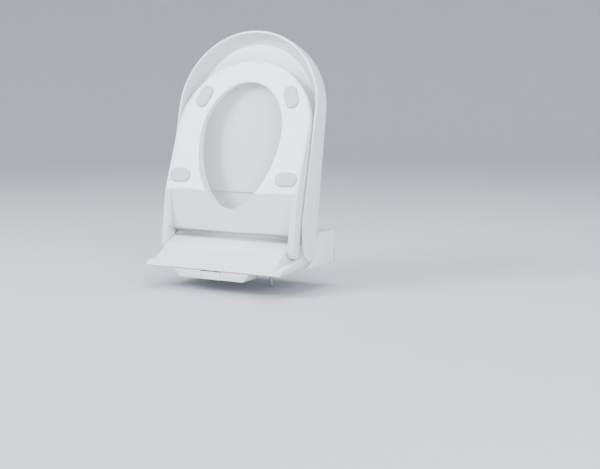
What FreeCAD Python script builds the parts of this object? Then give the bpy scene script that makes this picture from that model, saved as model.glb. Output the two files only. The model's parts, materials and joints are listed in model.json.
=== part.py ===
import FreeCAD, Part
import math
import os
import re
import Sketcher

# Electric bidet seat: a base unit bolted to the bowl, a heated seat ring and a lid on
# separate damped hinges, and a motor-driven spray wand in a housing under the front lip.
# Frame: origin midway between the two bowl bolts on the rim plane, +X to the right seen
# from the front, +Y to the wall, +Z up. Lid and seat are drawn closed, then swung open.

V = FreeCAD.Vector
os.makedirs("parts", exist_ok=True)
doc = FreeCAD.newDocument("bidet_seat")

# ---------------------------------------------------------------- driving dimensions (mm)
SIZES = {
    # base unit
    "half_width": 187.5, "back_y": 100, "block_y": 20.5, "block_top": 76, "wall": 3,
    "cheek_x": 181, "cheek_front": -26, "rim_gap": 0.8,
    "ramp_half": 160, "shoulder_half": 180, "front_y": -131, "lip_y": -122, "lip_z": 11,
    "ramp_y": -90, "ramp_z": 37, "ridge_y": -50, "ridge_z": 59, "housing_y": -31.5,
    "shoulder_z": 10.5, "shoulder_slope": 0.2, "barrel_r": 17,
    # lid, closed
    "lid_y": -5, "lid_z": 49, "lid_swing": 104, "lid_tip": -488, "lid_ellipse_y": -308,
    "lid_top": 67.5, "lid_fall": 0.0696, "lid_skin": 4, "lid_rim": 5.5, "skirt_z": 1.5,
    "ear_r": 32.5, "ear_x": 181.3, "skirt_heel": -50, "plate_end": -23, "cradle_r": 34,
    "lid_pad_x": 146, "lid_pad_y": -250, "lid_pad_low": 30.5, "lid_pad_r": 6,
    # seat ring, closed
    "seat_y": -52.5, "seat_z": 47, "seat_swing": 111, "seat_half": 179, "seat_tip": -478.5,
    "seat_ellipse_y": -311.5, "seat_under": 4.5, "arm_r": 19, "arm_top": 58, "arm_x": 163.5,
    "hole_y": -302.5, "hole_half": 108, "hole_front": 125, "hole_rear": 171,
    "fold_y": -166.5, "bridge_y": -83, "bridge_z": 43, "seat_skin": 3,
    "bumper_r": 17, "bumper_step": 11, "bumper_h": 4.5,
    # hinge shafts
    "lid_shaft_r": 5, "seat_shaft_r": 4, "running_gap": 0.05, "lid_damper_r": 11,
    "seat_damper_r": 5.9, "lid_bush_r": 7.9, "seat_bush_r": 5.9,
    # spray wand, along an axis that falls towards the front
    "tip_y": -129, "tip_z": -9.5, "wand_tilt": 22, "wand_r": 6, "wand_len": 140,
    "rack_pitch_x": 10, "pinion_r": 7, "gear_addendum": 0.8, "gear_dedendum": 1.2,
    "tooth_half": 0.6, "pinion_teeth": 14, "pinion_at": 75, "gear_half_face": 2.5,
    # nozzle housing and its cover plate
    "nozzle_top": 100, "nozzle_bottom": 84, "nozzle_z": -19, "nozzle_rear": -72,
    "plate_half": 26, "plate_low": -19.4, "plate_high": -2,
    # fixing to the bowl
    "bolt_x": 77.5, "bolt_r": 4, "bolt_neck_r": 3.7, "bolt_low": -50, "mount_half_x": 100,
    "mount_half_y": 30, "mount_t": 4,
    # services
    "inlet_x": -150, "inlet_y": 15, "inlet_bore": 7.5, "gland_x": 150, "gland_y": 20,
    "gland_bore": 3.6, "fan_x": 85, "fan_y": 5, "fan_r": 26, "fan_low": 16, "fan_high": 36,
    "valve_x": -120, "valve_y": 20, "plunger_r": 3, "button_y": 60, "button_z": 38,
    "button_r": 8.7, "boss_x": 165, "boss_back": 90, "boss_front": 32,
}
dims = doc.addObject("Spreadsheet::Sheet", "Dims")
for row, (alias, value) in enumerate(SIZES.items(), start=1):
    dims.set("A%d" % row, alias)
    dims.set("B%d" % row, str(value))
    dims.setAlias("B%d" % row, alias)
doc.recompute()


def value(expression):
    """The number that an expression over the sheet's aliases gives now."""
    return float(dims.evalExpression(linked(expression, "")))


def linked(expression, prefix="Dims."):
    """The expression with every alias written as a reference to the sheet."""
    return re.sub(r"[A-Za-z_]\w*", lambda m: prefix + m.group() if m.group() in SIZES else m.group(),
                  str(expression))


def bind(obj, prop, expression):
    obj.setExpression(prop, linked(expression))


# ---------------------------------------------------------------- bound primitives
def box(name, x0, x1, y0, y1, z0, z1):
    obj = doc.addObject("Part::Box", name)
    for prop, low, high in (("Length", x0, x1), ("Width", y0, y1), ("Height", z0, z1)):
        bind(obj, prop, "(%s) - (%s)" % (high, low))
    place(obj, x0, y0, z0)
    return obj


def place(obj, x, y, z):
    for prop, expression in (("x", x), ("y", y), ("z", z)):
        bind(obj, "Placement.Base." + prop, expression)


TURN = {"X": FreeCAD.Rotation(V(0, 1, 0), 90), "Y": FreeCAD.Rotation(V(1, 0, 0), -90),
        "Z": FreeCAD.Rotation()}


def rod(name, axis, x, y, z, length, radius):
    """A cylinder that starts at x, y, z and runs along a positive axis."""
    obj = doc.addObject("Part::Cylinder", name)
    obj.Placement = FreeCAD.Placement(V(), TURN[axis])
    bind(obj, "Radius", radius)
    bind(obj, "Height", length)
    place(obj, x, y, z)
    return obj


def oval(name, y, radius_x, radius_y, z0, z1):
    """An elliptical column on the symmetry plane."""
    ring = doc.addObject("Part::Ellipse", name + "_outline")
    wide = value(radius_x) >= value(radius_y)
    bind(ring, "MajorRadius", radius_x if wide else radius_y)
    bind(ring, "MinorRadius", radius_y if wide else radius_x)
    if not wide:
        ring.Placement = FreeCAD.Placement(V(), FreeCAD.Rotation(V(0, 0, 1), 90))
    place(ring, 0, y, z0)
    obj = doc.addObject("Part::Extrusion", name)
    obj.Base = ring
    obj.DirMode = "Custom"
    obj.Dir = V(0, 0, 1)
    obj.Solid = True
    bind(obj, "LengthFwd", "(%s) - (%s)" % (z1, z0))
    return obj


PLANES = {"YZ": FreeCAD.Rotation(V(1, 1, 1), 120), "XZ": FreeCAD.Rotation(V(1, 0, 0), 90),
          "XY": FreeCAD.Rotation()}


def prism(name, plane, points, start, length):
    """A closed outline whose corners are expressions, padded along the plane's normal."""
    sketch = doc.addObject("Sketcher::SketchObject", name + "_sketch")
    corners = [(value(across), value(up)) for across, up in points]
    count = len(corners)
    for index, (across, up) in enumerate(corners):
        end = corners[(index + 1) % count]
        sketch.addGeometry(Part.LineSegment(V(across, up, 0), V(end[0], end[1], 0)), False)
    for index in range(count):
        sketch.addConstraint(Sketcher.Constraint("Coincident", index, 2, (index + 1) % count, 1))
    for index in range(count):
        for kind, number, expression in zip(("DistanceX", "DistanceY"), corners[index], points[index]):
            at = sketch.addConstraint(Sketcher.Constraint(kind, -1, 1, index, 1, number))
            sketch.setExpression("Constraints[%d]" % at, linked(expression))
    sketch.Placement = FreeCAD.Placement(V(), PLANES[plane])
    bind(sketch, "Placement.Base." + {"YZ": "x", "XZ": "y", "XY": "z"}[plane], start)
    obj = doc.addObject("Part::Extrusion", name)
    obj.Base = sketch
    obj.DirMode = "Normal"
    obj.Solid = True
    bind(obj, "LengthFwd", length)
    return obj


def across(name, points, half):
    """A side outline in Y and Z, padded from -half to +half in X."""
    return prism(name, "YZ", points, "-(%s)" % half, "2 * (%s)" % half)


def fuse(name, *shapes):
    obj = doc.addObject("Part::MultiFuse", name)
    obj.Shapes = list(shapes)
    return obj


def common(name, *shapes):
    obj = doc.addObject("Part::MultiCommon", name)
    obj.Shapes = list(shapes)
    return obj


def cut(name, base, *tools):
    obj = doc.addObject("Part::Cut", name)
    obj.Base = base
    obj.Tool = tools[0] if len(tools) == 1 else fuse(name + "_tools", *tools)
    return obj


def moved(obj, x, y, z, turn):
    """The shape turned about Z by some degrees, then carried to x, y, z."""
    carrier = doc.addObject("Part::Compound", obj.Name + "_moved")
    carrier.Links = [obj]
    carrier.Placement = FreeCAD.Placement(V(x, y, z), FreeCAD.Rotation(V(0, 0, 1), turn))
    return carrier


def both_sides(name, make):
    """The same shape on the right and on the left: make(name, side) with side +1 or -1."""
    return make(name + "_right", 1), make(name + "_left", -1)


def side_rod(name, side, x0, x1, y, z, radius):
    start = x0 if side > 0 else "-(%s)" % x1
    return rod(name, "X", start, y, z, "(%s) - (%s)" % (x1, x0), radius)


NODES = {}


def node(name, obj):
    """Register a finished sub-part under the name of its file."""
    obj.Label = name
    NODES[name] = obj
    return obj


def swing(obj, pivot_y, pivot_z, angle):
    """Open a part that is drawn closed: turn it back about its hinge, which lies along X."""
    obj.Placement = FreeCAD.Placement(V(), FreeCAD.Rotation(V(-1, 0, 0), value(angle)))
    bind(obj, "Placement.Rotation.Angle", angle)
    bind(obj, "Placement.Base.y", "{0} - {0} * cos({2}) - {1} * sin({2})".format(pivot_y, pivot_z, angle))
    bind(obj, "Placement.Base.z", "{1} - {1} * cos({2}) + {0} * sin({2})".format(pivot_y, pivot_z, angle))
    return obj


def open_lid(obj):
    return swing(obj, "lid_y", "lid_z", "lid_swing")


def open_seat(obj):
    return swing(obj, "seat_y", "seat_z", "seat_swing")


def tilt(obj):
    """Lay a part that is drawn along Y from the origin onto the spray wand's axis."""
    obj.Placement = FreeCAD.Placement(V(), FreeCAD.Rotation(V(1, 0, 0), value("wand_tilt")))
    bind(obj, "Placement.Rotation.Angle", "wand_tilt")
    place(obj, 0, "tip_y", "tip_z")
    return obj


# ---------------------------------------------------------------- base unit casing
def shoulder_at(y):
    return "shoulder_z + shoulder_slope * ((%s) - lip_y)" % y


def make_base_cover():
    ramp = across("ramp", [("front_y", 0), ("front_y", "wall"), ("lip_y", "lip_z"), ("ramp_y", "ramp_z"),
                           ("ridge_y", "ridge_z"), ("block_y - 0.5", "ridge_z"), ("block_y - 0.5", 0)],
                  "ramp_half")
    shoulder = across("shoulder", [("front_y", 0), ("front_y", "wall"), ("lip_y", "shoulder_z"),
                                   ("housing_y", shoulder_at("housing_y")), ("housing_y", "ridge_z"),
                                   ("block_y - 0.5", "ridge_z"), ("block_y - 0.5", 0)], "shoulder_half")
    barrel = cut("barrel", rod("barrel_rod", "X", "-176", "lid_y", "lid_z", "352", "barrel_r"),
                 box("barrel_below", -180, 180, -60, 60, 0, "ridge_z - 1"))
    ramp_room = across("ramp_room", [("front_y + wall", -1), ("front_y + wall", "1.5"),
                                     ("lip_y + 1.5", "lip_z - wall"), ("ramp_y + 1.6", "ramp_z - wall"),
                                     ("ridge_y + 0.8", "ridge_z - wall"), ("block_y", "ridge_z - wall"),
                                     ("block_y", -1)], "ramp_half - wall")
    room = across("shoulder_room", [("front_y + wall", -1), ("front_y + wall", "1.5"),
                                    ("lip_y + 1.5", "shoulder_z - wall"),
                                    ("housing_y + wall", shoulder_at("housing_y") + " - wall"),
                                    ("housing_y + wall", "ridge_z - wall"), ("block_y", "ridge_z - wall"),
                                    ("block_y", -1)], "shoulder_half - wall")
    barrel_room = rod("barrel_room", "X", "-173", "lid_y", "lid_z", "346", "barrel_r - wall")
    lid_holes = rod("lid_bush_hole", "X", "-185", "lid_y", "lid_z", "370", "lid_bush_r + 0.1")
    seat_holes = rod("seat_bush_hole", "X", "-162", "seat_y", "seat_z", "324", "seat_bush_r + 0.1")
    outer = fuse("cover_outer", ramp, shoulder, barrel)
    return cut("base_cover_shape", outer, ramp_room, room, barrel_room, lid_holes, seat_holes)


def make_rear_housing():
    block = box("block", "-half_width", "half_width", "block_y", "back_y", "rim_gap", "block_top")

    def cheek(name, side):
        points = [("cheek_front", "rim_gap"), (-16, 5.5), (-3, 13), (4, 18), ("block_y + 1", 34),
                  ("block_y + 1", "rim_gap")]
        start = "cheek_x" if side > 0 else "-half_width"
        return prism(name, "YZ", points, start, "half_width - cheek_x")

    def cradle(name, side):
        return side_rod(name, side, "cheek_x", "half_width + 1", "lid_y", "lid_z", "cradle_r")

    def lining(name, side):
        return side_rod(name, side, "cheek_x - wall", "half_width", "lid_y", "lid_z", "cradle_r + wall")

    def boss(name, y):
        return (rod(name + "_right", "Z", "boss_x", y, 4, "block_top - 5", 5),
                rod(name + "_left", "Z", "-boss_x", y, 4, "block_top - 5", 5))

    bosses = boss("boss_back", "boss_back") + boss("boss_front", "boss_front")
    room = cut("block_room", box("block_inside", "wall - half_width", "half_width - wall",
                                 "block_y + wall", "back_y - wall", -1, "block_top - wall"),
               *both_sides("lining", lining))
    doorway = box("block_doorway", "wall - cheek_x", "cheek_x - wall", "block_y - 1", "block_y + wall + 1",
                  -1, "ridge_z - 2")
    button_hole = rod("button_hole", "X", "-half_width - 1", "button_y", "button_z", 6, "button_r + 0.3")
    pilots = [rod("pilot_%d" % index, "Z", x, y, 3, 18, 2.05)
              for index, (x, y) in enumerate(screw_places())]
    hollow = cut("block_hollow", fuse("block_outer", block, *both_sides("cheek", cheek)),
                 room, doorway, button_hole, *both_sides("cradle", cradle))
    return cut("rear_housing_shape", fuse("block_with_bosses", hollow, *bosses), *pilots)


def screw_places():
    return [("boss_x", "boss_back"), ("-boss_x", "boss_back"), ("boss_x", "boss_front"),
            ("-boss_x", "boss_front")]


def make_base_tray():
    sheet = box("tray_sheet", "wall + 0.2 - shoulder_half", "shoulder_half - wall - 0.2",
                "front_y + wall + 2.5", "back_y - wall - 0.5", 0, "wall")
    notch = box("tray_notch", "-nozzle_top - 3", "nozzle_top + 3", "front_y", -66, -1, 5)
    pocket = box("tray_pocket", "-mount_half_x - 4", "mount_half_x + 4", "-mount_half_y - 4",
                 "mount_half_y + 4", -1, 5)
    inlet = rod("tray_inlet", "Z", "inlet_x", "inlet_y", -1, 6, 11.2)
    gland = rod("tray_gland", "Z", "gland_x", "gland_y", -1, 6, 9.2)
    holes = []
    for index, (x, y) in enumerate(screw_places()):
        holes.append(rod("tray_screw_%d" % index, "Z", x, y, -1, 6, 2.3))
        holes.append(rod("tray_sink_%d" % index, "Z", x, y, -1, 2.7, 4.3))
    return cut("base_tray_shape", sheet, notch, pocket, inlet, gland, *holes)


def make_casing_screws():
    screws = []
    for index, (x, y) in enumerate(screw_places()):
        head = rod("screw_head_%d" % index, "Z", x, y, 0.2, 1.5, 4)
        screws.append(fuse("screw_%d" % index, head, rod("screw_shank_%d" % index, "Z", x, y, 1.5, 16, 2)))
    return fuse("casing_screws_shape", *screws)


def make_nozzle_housing():
    outer = prism("nozzle_outer", "XZ", [("-nozzle_top", -0.4), ("-nozzle_bottom", "nozzle_z"),
                                         ("nozzle_bottom", "nozzle_z"), ("nozzle_top", -0.4)],
                  "nozzle_rear", "nozzle_rear - front_y - 0.5")
    inner = prism("nozzle_inner", "XZ", [("3.5 - nozzle_top", 1), ("2.5 - nozzle_bottom", "nozzle_z + 2.5"),
                                         ("nozzle_bottom - 2.5", "nozzle_z + 2.5"), ("nozzle_top - 3.5", 1)],
                  "nozzle_rear - 2.5", "nozzle_rear - front_y - 6")
    mouth = box("nozzle_mouth", "-plate_half - 1.2", "plate_half + 1.2", "front_y - 1", "front_y + 4.5",
                "nozzle_z - 1", 1)
    lamp = box("lamp_hole", -60, -44, -112, -100, "nozzle_z - 1", "nozzle_z + 3")
    return cut("nozzle_housing_shape", outer, inner, mouth, lamp)


node("base_cover", make_base_cover())
node("rear_housing", make_rear_housing())
node("base_tray", make_base_tray())
node("casing_screws", make_casing_screws())
node("nozzle_housing", make_nozzle_housing())
node("night_light", box("night_light_shape", -59.8, -44.2, -111.8, -100.2, "nozzle_z + 0.1", "nozzle_z + 2.6"))


# ---------------------------------------------------------------- lid
def lid_line(y, drop=0):
    """Height of the closed lid's top face above the rim plane at a given y."""
    return "lid_top - lid_fall * (lid_y - (%s)) - (%s)" % (y, drop)


def d_plan(name, half, ellipse_y, tip, rear, z0=-10, z1=100):
    """A plan outline: straight sides, and half an ellipse at the front."""
    return fuse(name, box(name + "_straight", "-(%s)" % half, half, ellipse_y, rear, z0, z1),
                oval(name + "_round", ellipse_y, half, "(%s) - (%s)" % (ellipse_y, tip), z0, z1))


def make_lid_shell():
    side = across("lid_side", [("lid_tip - 1", "skirt_z"), ("lid_tip - 1", lid_line("lid_tip - 1")),
                               ("lid_y", lid_line("lid_y")), (4, 30), (4, 17.7), ("skirt_heel", "skirt_z")],
                  "half_width")
    ear_limit = across("ear_limit", [(-60, 0), (-60, lid_line(-60)), (40, lid_line(40)), (40, 0)],
                       "half_width + 1")
    ear = common("ear", rod("ear_rod", "X", "-half_width", "lid_y", "lid_z", "2 * half_width", "ear_r"),
                 ear_limit)
    outer = common("lid_outer", fuse("lid_solid", side, ear),
                   d_plan("lid_plan", "half_width", "lid_ellipse_y", "lid_tip", 45))
    cavity = common("lid_cavity",
                    across("lid_cavity_side", [("lid_tip", -5), ("lid_tip", lid_line("lid_tip", "lid_skin")),
                                               ("plate_end", lid_line("plate_end", "lid_skin")),
                                               ("plate_end", -5)], "half_width"),
                    d_plan("lid_cavity_plan", "half_width - lid_rim", "lid_ellipse_y", "lid_tip + lid_rim", 0))
    gap = box("lid_gap", "-ear_x", "ear_x", "plate_end", 60, -10, 100)
    bores = rod("ear_bore", "X", "1.5 - half_width", "lid_y", "lid_z", "2 * half_width - 3", "lid_shaft_r + 0.02")
    return cut("lid_shell_shape", outer, cavity, gap, bores)


def make_lid_liner():
    low = "lid_skin + 3.2"
    high = "lid_skin + 0.2"
    sheet = across("liner_side", [("lid_tip", lid_line("lid_tip", low)), ("lid_tip", lid_line("lid_tip", high)),
                                  (-120, lid_line(-120, high)), (-120, lid_line(-120, low))], "half_width")
    return common("lid_liner_shape", sheet, d_plan("liner_plan", "half_width - lid_rim - 2.5",
                                                   "lid_ellipse_y", "lid_tip + lid_rim + 2.5", -100))


def make_lid_bumpers():
    top = lid_line("lid_pad_y", "lid_skin + 3.2 + lid_fall * lid_pad_r")
    return fuse("lid_bumpers_shape", *[rod("lid_pad_%d" % side, "Z", "%d * lid_pad_x" % side, "lid_pad_y",
                                           "lid_pad_low", top + " - lid_pad_low", "lid_pad_r")
                                       for side in (1, -1)])


node("lid_shell", open_lid(make_lid_shell()))
node("lid_liner", open_lid(make_lid_liner()))
node("lid_bumpers", open_lid(make_lid_bumpers()))


# ---------------------------------------------------------------- seat ring
TOP_LINE = [("seat_y", "arm_top + 0.5"), (-111, 46.5), (-166, 41), (-254, 29), (-361, 19),
            ("seat_tip - 1", 12.5)]


def seat_plan(name, inset):
    """The ring's plan: the outline less the egg-shaped opening, both offset inwards."""
    outline = d_plan(name, "seat_half - %s" % inset, "seat_ellipse_y", "seat_tip + %s" % inset, 20)
    front = common(name + "_hole_front",
                   oval(name + "_egg_front", "hole_y", "hole_half + %s" % inset, "hole_front + %s" % inset, -12, 102),
                   box(name + "_front_half", -200, 200, -600, "hole_y", -12, 102))
    rear = common(name + "_hole_rear",
                  oval(name + "_egg_rear", "hole_y", "hole_half + %s" % inset, "hole_rear + %s" % inset, -12, 102),
                  box(name + "_rear_half", -200, 200, "hole_y", 200, -12, 102))
    return cut(name + "_ring", outline, front, rear)


def make_seat_solid(name):
    """The closed ring with its two arms, before it is split into mouldings."""
    tangent = (-48.7, 28.4)
    side = across(name + "_side", [("seat_tip - 1", "seat_under"), ("fold_y", "seat_under"), tangent,
                                   (-37.4, "arm_top")] + TOP_LINE, "seat_half")
    knuckle = common(name + "_knuckle", rod(name + "_knuckle_rod", "X", "-seat_half", "seat_y", "seat_z",
                                            "2 * seat_half", "arm_r"),
                     box(name + "_knuckle_limit", -200, 200, -80, 0, 0, "arm_top"))
    centre = across(name + "_centre", [("fold_y", "seat_under"), ("bridge_y", "bridge_z"), ("bridge_y", 80),
                                       (0, 80), (0, -8), ("fold_y", -8)], "arm_x")
    ring = common(name + "_ring_solid", fuse(name + "_solid", side, knuckle), seat_plan(name + "_plan", 0))
    return cut(name, ring, centre)


def plate_zone(name):
    """The lowest few millimetres of the ring, which the base plate fills."""
    flat = box(name + "_flat", -200, 200, "seat_tip - 5", "fold_y", 0, "seat_under + seat_skin")
    slope = across(name + "_slope", [("fold_y - 6", 0), ("fold_y - 6", "seat_under + seat_skin"),
                                     ("fold_y + 1", "seat_under + seat_skin"),
                                     ("bridge_y + 1", "bridge_z + seat_skin + 0.5"), ("bridge_y + 1", 0)],
                   "arm_x")
    return fuse(name, flat, slope)


def make_seat_top():
    hollow_side = across("seat_hollow_side", [(-166, 7.5), (-98, 39.2), (-98, 45.3), (-111, 43), (-166, 37.5),
                                              (-254, 25.5), (-361, 15.5), (-466, 9.6), (-466, 7.4)],
                         "arm_x - 3")
    hollow = common("seat_hollow", hollow_side, seat_plan("seat_hollow_plan", 4))
    bores = rod("arm_bores", "X", "3 - seat_half", "seat_y", "seat_z", "2 * seat_half - 6",
                "seat_shaft_r + running_gap")
    return cut("seat_top_shape", make_seat_solid("seat_top_solid"), plate_zone("top_zone"), hollow, bores)


def make_heater_foil():
    sheet = across("foil_side", [(-130, 38.9), (-166, 36.9), (-254, 24.9), (-361, 14.9), (-440, 10.4),
                                 (-440, 9.8), (-361, 14.3), (-254, 24.3), (-166, 36.3), (-130, 38.3)],
                   "arm_x - 4")
    return common("heater_foil_shape", sheet, seat_plan("foil_plan", 6))


def make_bumper(name, x, y, turn):
    """A soft pad with round ends under the ring, its long side turned about Z."""
    body = fuse(name + "_shape", box(name + "_middle", "-bumper_step", "bumper_step", "-bumper_r", "bumper_r",
                                     "seat_under - bumper_h", "seat_under"),
                rod(name + "_end_a", "Z", "bumper_step", 0, "seat_under - bumper_h", "bumper_h", "bumper_r"),
                rod(name + "_end_b", "Z", "-bumper_step", 0, "seat_under - bumper_h", "bumper_h", "bumper_r"))
    carrier = doc.addObject("Part::Compound", name)
    carrier.Links = [moved(body, x, y, 0, turn)]
    return open_seat(carrier)


node("seat_top_shell", open_seat(make_seat_top()))
node("seat_base_plate", open_seat(common("seat_base_shape", make_seat_solid("seat_base_solid"),
                                         plate_zone("base_zone"))))
node("seat_heater_foil", open_seat(make_heater_foil()))
for side, word in ((1, "right"), (-1, "left")):
    node("seat_bumper_rear_" + word, make_bumper("bumper_rear_" + word, side * 143, -200.5, 0))
    node("seat_bumper_front_" + word, make_bumper("bumper_front_" + word, side * 118, -392, side * 66))


# ---------------------------------------------------------------- hinge shafts and dampers
def make_bush(name, side, x0, x1, y, z, radius, shaft_r):
    """A bearing tube that a hinge shaft runs in."""
    return cut(name, side_rod(name + "_body", side, x0, x1, y, z, radius),
               side_rod(name + "_bore", side, "%s - 1" % x0, "%s + 1" % x1, y, z, shaft_r + " + running_gap"))


for side, word in ((1, "right"), (-1, "left")):
    node("lid_shaft_" + word, side_rod("lid_shaft_%s_shape" % word, side, 130, "half_width - 1.6",
                                       "lid_y", "lid_z", "lid_shaft_r"))
    node("seat_shaft_" + word, side_rod("seat_shaft_%s_shape" % word, side, 118, "seat_half - 3.2",
                                        "seat_y", "seat_z", "seat_shaft_r"))
    node("lid_damper_" + word, make_bush("lid_damper_%s_shape" % word, side, 128, 172.5,
                                         "lid_y", "lid_z", "lid_damper_r", "lid_shaft_r"))
    node("seat_damper_" + word, make_bush("seat_damper_%s_shape" % word, side, 115, 156,
                                          "seat_y", "seat_z", "seat_damper_r", "seat_shaft_r"))
    node("lid_bush_" + word, make_bush("lid_bush_%s_shape" % word, side, 176, 180.6,
                                       "lid_y", "lid_z", "lid_bush_r", "lid_shaft_r"))
    node("seat_bush_" + word, make_bush("seat_bush_%s_shape" % word, side, 156.5, 162.8,
                                        "seat_y", "seat_z", "seat_bush_r", "seat_shaft_r"))


# ---------------------------------------------------------------- spray wand and its drive
def make_wand_tube():
    body = rod("tube_body", "Y", 0, 31, 0, "wand_len - 31", "wand_r")
    bore = rod("tube_bore", "Y", 0, 30, 0, "wand_len - 34", "wand_r - 2")
    return cut("wand_tube_shape", body, bore, box("rack_seat", 5, 9, 34, 138, -2.5, 2.5))


def plate_stem(name):
    return box(name, -3, 3, -128, -119, -10, -6)


def make_wand_tip():
    head = rod("tip_head", "Y", 0, 5.5, 0, 25.5, "wand_r")
    jets = [rod("jet_%d" % index, "Z", x, y, 2, 6, 0.7)
            for index, (x, y) in enumerate(((0, 14), (-2.4, 18), (2.4, 18), (0, 22)))]
    spigot = rod("tip_spigot", "Y", 0, 31, 0, 8, "wand_r - 2.05")
    shaped = tilt(cut("tip_with_jets", fuse("tip_solid", head, spigot), *jets))
    return cut("wand_tip_shape", shaped, plate_stem("stem_socket"))


def make_cover_plate():
    return fuse("cover_plate_shape", box("cover_plate_sheet", "-plate_half", "plate_half", -130.3, -128,
                                         "plate_low", "plate_high"), plate_stem("cover_plate_stem"))


RACK_START = 36
RACK_COUNT = 31


def make_rack():
    """A straight rack; one tooth stands midway between two pinion teeth at rest."""
    pitch = math.pi * 2 * value("pinion_r") / value("pinion_teeth")
    root = "rack_pitch_x - gear_dedendum"
    strip = box("rack_strip", 5, root, RACK_START, "%d + %.6f" % (RACK_START, RACK_COUNT * pitch),
                "-gear_half_face", "gear_half_face")
    phase = (value("pinion_at") - RACK_START) / pitch
    first = RACK_START + (phase - math.floor(phase)) * pitch
    teeth = []
    for index in range(RACK_COUNT):
        centre = first + index * pitch
        points = [("rack_pitch_x - gear_dedendum - 0.1", "%.6f - tooth_half - 0.45" % centre),
                  ("rack_pitch_x + gear_addendum", "%.6f - tooth_half + 0.3" % centre),
                  ("rack_pitch_x + gear_addendum", "%.6f + tooth_half - 0.3" % centre),
                  ("rack_pitch_x - gear_dedendum - 0.1", "%.6f + tooth_half + 0.45" % centre)]
        teeth.append(prism("rack_tooth_%d" % index, "XY", points, "-gear_half_face", "2 * gear_half_face"))
    return fuse("wand_rack_shape", strip, *teeth[:-1])


def make_pinion():
    """Straight-sided teeth on a root cylinder, and the shaft up into the motor."""
    centre = "rack_pitch_x + pinion_r"
    hub = rod("pinion_hub", "Z", centre, "pinion_at", "-gear_half_face", "2 * gear_half_face",
              "pinion_r - gear_dedendum")
    shaft = rod("pinion_shaft", "Z", centre, "pinion_at", "gear_half_face - 0.5", 10, 1.5)
    count = int(value("pinion_teeth"))
    teeth = []
    for index in range(count):
        points = [("pinion_r - gear_dedendum - 0.6", "-tooth_half - 0.35"),
                  ("pinion_r + gear_addendum", "0.3 - tooth_half"),
                  ("pinion_r + gear_addendum", "tooth_half - 0.3"),
                  ("pinion_r - gear_dedendum - 0.6", "tooth_half + 0.35")]
        tooth = prism("pinion_tooth_%d" % index, "XY", points, "0", "2 * gear_half_face")
        angle = 180 + (index + 0.5) * 360 / count
        teeth.append(moved(tooth, value(centre), value("pinion_at"), -value("gear_half_face"), angle))
    return fuse("drive_pinion_shape", hub, shaft, *teeth)


def make_wand_motor():
    centre = "rack_pitch_x + pinion_r"
    can = rod("motor_can", "Z", centre, "pinion_at", 8, 13, 11)
    flange = box("motor_flange", "%s - 4" % centre, "%s + 4" % centre, "pinion_at - 15", "pinion_at + 15", 8, 9.5)
    bore = rod("motor_bore", "Z", centre, "pinion_at", 7, 8, 1.55)
    return cut("wand_motor_shape", fuse("motor_solid", can, flange), bore)


def make_wand_guide():
    floor = box("guide_floor", -9, 9, 45, 145, -9.2, "-wand_r - 0.5")
    fence = box("guide_fence", -9, "-wand_r - 0.5", 45, 145, -9.2, 5)
    post = box("guide_post", 12, 16, 92, 96, -9.2, 8)
    arm = box("guide_arm", 8, 16, 92, 96, -9.2, -7)
    channel = tilt(fuse("guide_channel", floor, fence, post, arm))
    legs = [box("guide_leg_%d" % index, -9, 9, y, "%s + 4" % y, "wall", top)
            for index, (y, top) in enumerate(((-62, 9), (-38, 18)))]
    return fuse("wand_guide_shape", channel, *legs)


node("wand_tube", tilt(make_wand_tube()))
node("wand_tip", make_wand_tip())
node("wand_cover_plate", make_cover_plate())
node("wand_rack", tilt(make_rack()))
node("drive_pinion", tilt(make_pinion()))
node("wand_motor", tilt(make_wand_motor()))
node("wand_guide", make_wand_guide())


# ---------------------------------------------------------------- fixing to the bowl
def make_mounting_plate():
    sheet = box("mount_sheet", "-mount_half_x", "mount_half_x", "-mount_half_y", "mount_half_y", 0, "mount_t")
    return cut("mounting_plate_shape", sheet, *[rod("mount_hole_%d" % side, "Z", "%d * bolt_x" % side, 0, -1, 8,
                                                    "bolt_r + 0.5") for side in (1, -1)])


def make_pair(name, build):
    return fuse(name, build(1), build(-1))


def bolt(side):
    x = "%d * bolt_x" % side
    return fuse("bolt_%d" % side, rod("bolt_head_%d" % side, "Z", x, 0, "mount_t + 1.6", 5.5, 7.5),
                rod("bolt_neck_%d" % side, "Z", x, 0, -1, "mount_t + 2.7", "bolt_neck_r"),
                rod("bolt_shank_%d" % side, "Z", x, 0, "bolt_low", "-bolt_low", "bolt_r"))


def washer(side):
    x = "%d * bolt_x" % side
    return cut("washer_%d" % side, rod("washer_disc_%d" % side, "Z", x, 0, "mount_t", 1.6, 9),
               rod("washer_hole_%d" % side, "Z", x, 0, "mount_t - 1", 4, "bolt_r + 0.3"))


node("mounting_plate", make_mounting_plate())
node("fixing_bolts", make_pair("fixing_bolts_shape", bolt))
node("fixing_washers", make_pair("fixing_washers_shape", washer))


# ---------------------------------------------------------------- release button
def make_release_button():
    cap = rod("button_cap", "X", "0.3 - half_width", "button_y", "button_z", 14, "button_r")
    flange = rod("button_flange", "X", "5 - half_width", "button_y", "button_z", 2, "button_r + 2.5")
    pocket = rod("button_pocket", "X", "12 - half_width", "button_y", "button_z", 6, 6.5)
    return cut("release_button_shape", fuse("button_solid", cap, flange), pocket)


def make_spring():
    """A compression spring, kept as the tube its coils fill."""
    return cut("release_spring_shape",
               rod("spring_outer", "X", "12.1 - half_width", "button_y", "button_z", 12, 6),
               rod("spring_inner", "X", "11 - half_width", "button_y", "button_z", 14, 4.8))


def make_latch_bracket():
    wall_x = "24.3 - half_width"
    plate = box("latch_plate", wall_x, wall_x + " + 3", "button_y - 10", "button_y + 10", "wall", "button_z + 9")
    foot = box("latch_foot", wall_x, wall_x + " + 12", "button_y - 10", "button_y + 10", "wall", "wall + 2.5")
    return fuse("latch_bracket_shape", plate, foot)


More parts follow.
